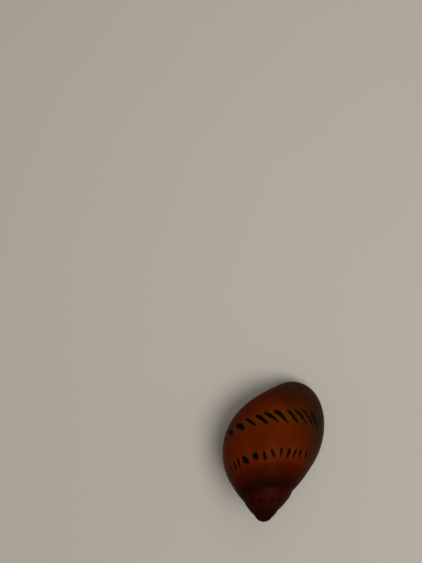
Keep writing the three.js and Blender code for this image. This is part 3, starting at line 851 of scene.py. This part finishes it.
class Nodes:
    """Short calls for building one material's node tree."""

    def __init__(self, name):
        self.material = bpy.data.materials.new(name)
        self.material.use_nodes = True
        self.tree = self.material.node_tree
        self.tree.nodes.clear()
        output = self.tree.nodes.new("ShaderNodeOutputMaterial")
        self.shader = self.tree.nodes.new("ShaderNodeBsdfPrincipled")
        self.tree.links.new(self.shader.outputs[0], output.inputs["Surface"])

    def put(self, target, value):
        if isinstance(value, bpy.types.NodeSocket):
            self.tree.links.new(value, target)
        else:
            target.default_value = value

    def set(self, **values):
        """Sets the shader's own sockets, with _ for a space in their names."""
        for name, value in values.items():
            self.put(self.shader.inputs[name.replace("_", " ")], value)

    def math(self, operation, a, b):
        node = self.tree.nodes.new("ShaderNodeMath")
        node.operation = operation
        self.put(node.inputs[0], a)
        self.put(node.inputs[1], b)
        return node.outputs[0]

    def add(self, *values):
        total = values[0]
        for value in values[1:]:
            total = self.math("ADD", total, value)
        return total

    def times(self, a, b):
        return self.math("MULTIPLY", a, b)

    def centred(self, value, height):
        """A noise moved from 0 to 1 to either side of 0, and scaled."""
        return self.times(self.math("SUBTRACT", value, 0.5), height)

    def mix(self, factor, a, b):
        node = self.tree.nodes.new("ShaderNodeMix")
        node.data_type = "RGBA"
        self.put(node.inputs["Factor"], factor)
        self.put(node.inputs["A"], a)
        self.put(node.inputs["B"], b)
        return node.outputs["Result"]

    def cover(self, colour, mask, strength, other):
        """The colour, with another over it where the mask says."""
        return self.mix(self.times(mask, strength), colour, other)

    def attribute(self, name):
        node = self.tree.nodes.new("ShaderNodeAttribute")
        node.attribute_name = name
        return node.outputs["Fac"]

    def vector(self, x, y, z):
        node = self.tree.nodes.new("ShaderNodeCombineXYZ")
        for socket, value in zip(node.inputs, (x, y, z)):
            self.put(socket, value)
        return node.outputs[0]

    def position(self):
        return self.tree.nodes.new("ShaderNodeTexCoord").outputs["Object"]

    def noise(self, scale, detail=4.0, roughness=0.55, vector=None, kind="ShaderNodeTexNoise"):
        """Noise in space, or along another vector."""
        node = self.tree.nodes.new(kind)
        self.put(node.inputs["Vector"], vector or self.position())
        self.put(node.inputs["Scale"], scale)
        self.put(node.inputs["Detail"], detail)
        self.put(node.inputs["Roughness"], roughness)
        return node.outputs[0]

    def cells(self, scale):
        """Distance from the middles of small cells."""
        return self.noise(scale, kind="ShaderNodeTexVoronoi")

    def band(self, value, low, high):
        """0 at low and 1 at high, smooth between them."""
        node = self.tree.nodes.new("ShaderNodeMapRange")
        node.interpolation_type = "SMOOTHSTEP"
        self.put(node.inputs[0], value)
        self.put(node.inputs[1], low)
        self.put(node.inputs[2], high)
        return node.outputs[0]

    def bump(self, height, strength, distance):
        node = self.tree.nodes.new("ShaderNodeBump")
        self.put(node.inputs["Strength"], strength)
        self.put(node.inputs["Distance"], distance)
        self.put(node.inputs["Height"], height)
        self.put(self.shader.inputs["Normal"], node.outputs[0])


SHELL = {
    "orange": rgb(0.120, 0.0150, 0.0003),
    "dull orange": rgb(0.090, 0.0100, 0.0002),
    "front": rgb(0.078, 0.0055, 0.0002),
    "rear": rgb(0.047, 0.0034, 0.0002),
    # Painted shade: the whorl darkens towards the suture.
    "suture": rgb(0.010, 0.0017, 0.0005),
    # Painted shade over the spire; the next colour is a painted highlight on its upward-facing slope.
    "spire": rgb(0.012, 0.0018, 0.0005),
    "spire highlight": rgb(0.026, 0.0026, 0.0010),
    "tip": rgb(0.011, 0.0015, 0.0006),
    "glow": rgb(0.105, 0.042, 0.0006),
    "streak": rgb(0.042, 0.0042, 0.0003),
    # Olive edge colour, darker at the side partly as painted shade.
    "side olive and shade": rgb(0.0120, 0.0062, 0.0012),
    "front olive": rgb(0.029, 0.0108, 0.0019),
    "tick": rgb(0.0024, 0.0012, 0.0010),
}


def shell_material():
    """Orange, redder in front and behind, with painted shade at the sutures and over the spire and a painted
    highlight on the spire's upper slope, olive at the edge, darker at the side partly as painted shade, with
    black ticks.
    """
    n = Nodes("shell")
    growth, turn, section_place = n.attribute("growth"), n.attribute("turn"), n.attribute("section")
    streaks = n.noise(1.0, 5, 0.6, n.vector(n.times(growth, 90), n.times(section_place, 7), 0.0))
    clouds = n.noise(170, 3, 0.5)
    across = n.add(section_place, n.centred(clouds, 0.25))
    colour = n.mix(n.band(clouds, 0.3, 0.7), SHELL["orange"], SHELL["dull orange"])
    colour = n.cover(colour, n.band(across, 0.15, 0.5), 0.8, SHELL["front"])
    colour = n.cover(colour, n.band(across, -0.26, -0.56), 0.85, SHELL["rear"])
    # Painted shade, darker towards the suture.
    colour = n.cover(colour, n.band(across, -0.48, -0.90), 0.92, SHELL["suture"])
    spire = n.band(turn, -0.62, -0.85)
    # Painted shade over the spire, lighter on its slope above the shoulder: a painted highlight.
    spire_shade_and_highlight = n.mix(n.band(across, -0.12, -0.42), SHELL["spire"], SHELL["spire highlight"])
    colour = n.cover(colour, spire, 0.9, spire_shade_and_highlight)
    colour = n.cover(colour, n.band(turn, -1.6, -2.1), 0.8, SHELL["tip"])
    colour = n.cover(colour, n.attribute("halo"), 0.6, SHELL["glow"])
    colour = n.cover(colour, n.band(streaks, 0.5, 0.72), 0.4, SHELL["streak"])
    olive = n.band(n.add(growth, n.times(clouds, 0.03)), -0.21, -0.03)
    # The olive edge is the shell's own colour; its darker tone at the side is partly painted shade.
    olive_colour = n.mix(n.band(section_place, 0.1, 0.5), SHELL["side olive and shade"], SHELL["front olive"])
    colour = n.cover(colour, olive, 0.9, olive_colour)
    strength = n.math("SUBTRACT", 0.97, n.add(n.times(olive, 0.15), n.times(spire, 0.38)))
    colour = n.cover(colour, tick_mask(n, growth, section_place), strength, SHELL["tick"])
    n.set(Base_Color=colour, Roughness=n.add(n.times(streaks, 0.16), 0.36))
    n.set(Specular_IOR_Level=0.014, Specular_Tint=rgb(1.0, 0.60, 0.30))
    n.set(Coat_Weight=0.005, Coat_Roughness=0.2)
    n.bump(n.add(streaks, n.times(n.noise(2600, 3), 0.25)), 0.35, 0.00005)
    return n.material


def tick_mask(n, growth, section_place):
    """1 on the ticks, with ends that fray along the growth lines and uneven sides."""
    fringe = n.centred(n.noise(2400, 3), 0.5)
    bulges = n.centred(n.noise(800, 2), 0.7)
    threads = n.noise(1.0, 3, 0.6, n.vector(n.times(growth, 330), n.times(section_place, 5), 3.0))
    return n.band(n.add(n.attribute("tick"), n.centred(threads, 1.5), fringe, bulges), 1.14, 0.92)


def inner_shell_material():
    """Pale horn, darker at the lip."""
    n = Nodes("shell_inside")
    clouds = n.noise(260, 4)
    colour = n.mix(n.band(clouds, 0.3, 0.7), rgb(0.34, 0.25, 0.17), rgb(0.44, 0.36, 0.27))
    colour = n.cover(colour, n.band(n.attribute("growth"), -0.10, -0.01), 0.85, rgb(0.055, 0.036, 0.013))
    n.set(Base_Color=colour, Roughness=n.add(n.times(clouds, 0.12), 0.2))
    n.set(Coat_Weight=0.3, Coat_Roughness=0.12)
    n.bump(clouds, 0.15, 0.00003)
    return n.material


def shelf_material():
    """Glossy cream, stained orange along the toothed edge."""
    n = Nodes("shelf")
    clouds = n.noise(240, 4)
    inward = n.attribute("inward")
    flow = n.noise(1.0, 4, 0.6, n.vector(n.times(inward, 1.1), n.times(clouds, 1.2), 0.0))
    colour = n.mix(n.band(flow, 0.35, 0.65), rgb(0.56, 0.47, 0.35), rgb(0.66, 0.60, 0.50))
    stain = n.band(n.add(inward, n.times(clouds, -1.5)), -0.2, -1.4)
    colour = n.cover(colour, stain, 0.55, rgb(0.42, 0.19, 0.055))
    n.set(Base_Color=colour, Roughness=n.add(n.times(clouds, 0.14), 0.16))
    n.set(Coat_Weight=0.4, Coat_Roughness=0.08, Subsurface_Weight=0.08, Subsurface_Scale=0.0006)
    n.bump(n.add(flow, n.times(n.noise(1800, 3), 0.2)), 0.2, 0.00004)
    return n.material


SKIN = {
    "grey": rgb(0.052, 0.045, 0.032),
    "dark": rgb(0.015, 0.013, 0.010),
    "cell edge": rgb(0.105, 0.092, 0.064),
    "fleck": rgb(0.17, 0.15, 0.10),
    "sole": rgb(0.20, 0.185, 0.145),
    "feeler ring": rgb(0.006, 0.005, 0.004),
    "lips": rgb(0.19, 0.13, 0.075),
    # Painted shade in the slit of the mouth.
    "mouth": rgb(0.014, 0.006, 0.005),
}


def skin_material():
    """Wet dark grey with pale flecks, a pale sole, dark rings on the feelers, buff lips and painted shade in
    the mouth's slit.
    """
    n = Nodes("skin")
    mottle, flecks, cells = n.noise(1300, 5, 0.65), n.noise(3600, 3, 0.6), n.cells(2100)
    colour = n.mix(n.band(mottle, 0.38, 0.62), SKIN["grey"], SKIN["dark"])
    colour = n.cover(colour, n.band(cells, 0.55, 0.85), 0.45, SKIN["cell edge"])
    colour = n.cover(colour, n.band(flecks, 0.60, 0.70), 0.75, SKIN["fleck"])
    sole = n.band(n.add(n.attribute("height"), n.times(mottle, 0.4)), 0.75, 0.25)
    colour = n.cover(colour, sole, 0.85, SKIN["sole"])
    feeler = n.attribute("feeler")
    rings = n.add(n.times(n.math("SINE", n.times(feeler, 190), 0.0), 0.5), 0.5)
    on_feeler = n.times(n.band(feeler, -0.5, 0.0), n.band(mottle, 0.3, 0.6))
    colour = n.cover(colour, n.times(rings, on_feeler), 0.8, SKIN["feeler ring"])
    colour = n.cover(colour, n.attribute("lip"), 0.7, SKIN["lips"])
    # Painted shade along the slit of the mouth.
    colour = n.cover(colour, n.attribute("mouth"), 0.9, SKIN["mouth"])
    n.set(Base_Color=colour, Roughness=n.add(n.times(mottle, 0.2), 0.24))
    n.set(Coat_Weight=0.22, Coat_Roughness=0.22, Subsurface_Weight=0.12, Subsurface_Scale=0.0005)
    n.bump(n.add(mottle, n.times(flecks, 0.5), cells), 0.5, 0.00006)
    return n.material


def operculum_material():
    """Horn with darker rings and a dark rim."""
    n = Nodes("operculum")
    ring = n.attribute("ring")
    clouds = n.noise(420, 4)
    lines = n.noise(1.0, 4, 0.6, n.vector(n.times(ring, 26), clouds, 0.0))
    colour = n.mix(n.band(lines, 0.35, 0.65), rgb(0.235, 0.19, 0.12), rgb(0.105, 0.075, 0.042))
    colour = n.mix(n.band(ring, 0.88, 1.0), colour, rgb(0.05, 0.026, 0.012))
    n.set(Base_Color=colour, Roughness=n.add(n.times(clouds, 0.2), 0.25))
    n.set(Coat_Weight=0.2, Coat_Roughness=0.2)
    n.bump(n.add(lines, n.times(n.noise(2400, 3), 0.2)), 0.3, 0.00004)
    return n.material


def eye_material():
    """Black with a faint brown cloud."""
    n = Nodes("eye")
    clouds = n.noise(1500, 3)
    n.set(Base_Color=n.mix(clouds, rgb(0.004, 0.003, 0.003), rgb(0.011, 0.008, 0.006)))
    n.set(Roughness=n.add(n.times(clouds, 0.10), 0.20), Specular_IOR_Level=0.22)
    n.set(Coat_Weight=0.22, Coat_Roughness=0.12)
    n.bump(clouds, 0.1, 0.00001)
    return n.material


def floor_material():
    """The pale bottom of the tub, faintly clouded."""
    n = Nodes("floor")
    colour = n.mix(n.noise(14, 3), rgb(0.515, 0.478, 0.418), rgb(0.545, 0.506, 0.446))
    n.set(Base_Color=colour, Roughness=0.75)
    return n.material


# the whole snail

shell, shell_grid = build_shell()
shelf = build_shelf(shell_grid)
operculum = build_operculum()
skin = build_skin(shell_grid)
eyes = [build_eye(side) for side in EYE_STALKS]

shell.data.materials.clear()
shell.data.materials.append(shell_material())
shell.data.materials.append(inner_shell_material())
shelf.data.materials.append(shelf_material())
operculum.data.materials.append(operculum_material())
skin.data.materials.append(skin_material())
eye_surface = eye_material()
for eye in eyes:
    eye.data.materials.append(eye_surface)


# floor, light and camera, in metres

FLOOR_HALF = 0.6
# The camera looks straight down, with the picture's right and up turned to lie as in the photo.
CAMERA_PLACE = Vector((18.10, -22.54, 141.0)) * MM
PICTURE_RIGHT = Vector((-0.9659, -0.2588, 0))
PICTURE_UP = Vector((0.2588, -0.9659, 0))
FILM_WIDTH, LENS = 36.0, 51.15
# The lamps: distance to the picture's right, up and over the floor, then size, power and colour.
LAMPS = {
    "key": ((0.088, -0.035, 0.29), 0.18, 0.49, (1.0, 0.98, 0.95)),
    "fill": ((0.04, 0.14, 0.32), 0.30, 0.22, (1.0, 0.99, 0.97)),
}
SKY_COLOUR, SKY_STRENGTH = (1.0, 0.99, 0.97, 1), 0.20


def add_floor():
    half = FLOOR_HALF
    corners = [(-half, -half, 0), (half, -half, 0), (half, half, 0), (-half, half, 0)]
    mesh = bpy.data.meshes.new("floor")
    mesh.from_pydata(corners, [], [(0, 1, 2, 3)])
    mesh.materials.append(floor_material())
    floor_piece = add_object("floor", mesh)


def add_lamp(name, offset, size, power, colour):
    """A round lamp that points at the middle of the floor."""
    data = bpy.data.lights.new(name, "AREA")
    data.shape, data.size, data.energy, data.color = "DISK", size, power, colour
    lamp = add_object(name, data)
    lamp.location = PICTURE_RIGHT * offset[0] + PICTURE_UP * offset[1] + Vector((0, 0, offset[2]))
    lamp.rotation_mode = "QUATERNION"
    lamp.rotation_quaternion = (-lamp.location).to_track_quat("-Z", "Y")


def add_sky():
    world = bpy.data.worlds.new("world")
    world.use_nodes = True
    world.node_tree.nodes["Background"].inputs["Color"].default_value = SKY_COLOUR
    world.node_tree.nodes["Background"].inputs["Strength"].default_value = SKY_STRENGTH
    bpy.context.scene.world = world
    bpy.context.scene.view_settings.view_transform = "Standard"


def add_camera():
    data = bpy.data.cameras.new("camera")
    data.sensor_width, data.lens = FILM_WIDTH, LENS
    data.clip_start, data.clip_end = 0.002, 5.0
    camera = add_object("camera", data)
    turned = Matrix((PICTURE_RIGHT, PICTURE_UP, Vector((0, 0, 1)))).transposed()
    camera.matrix_world = Matrix.Translation(CAMERA_PLACE) @ turned.to_4x4()
    bpy.context.scene.camera = camera


add_floor()
for name, settings in LAMPS.items():
    add_lamp(name, *settings)
add_sky()
add_camera()
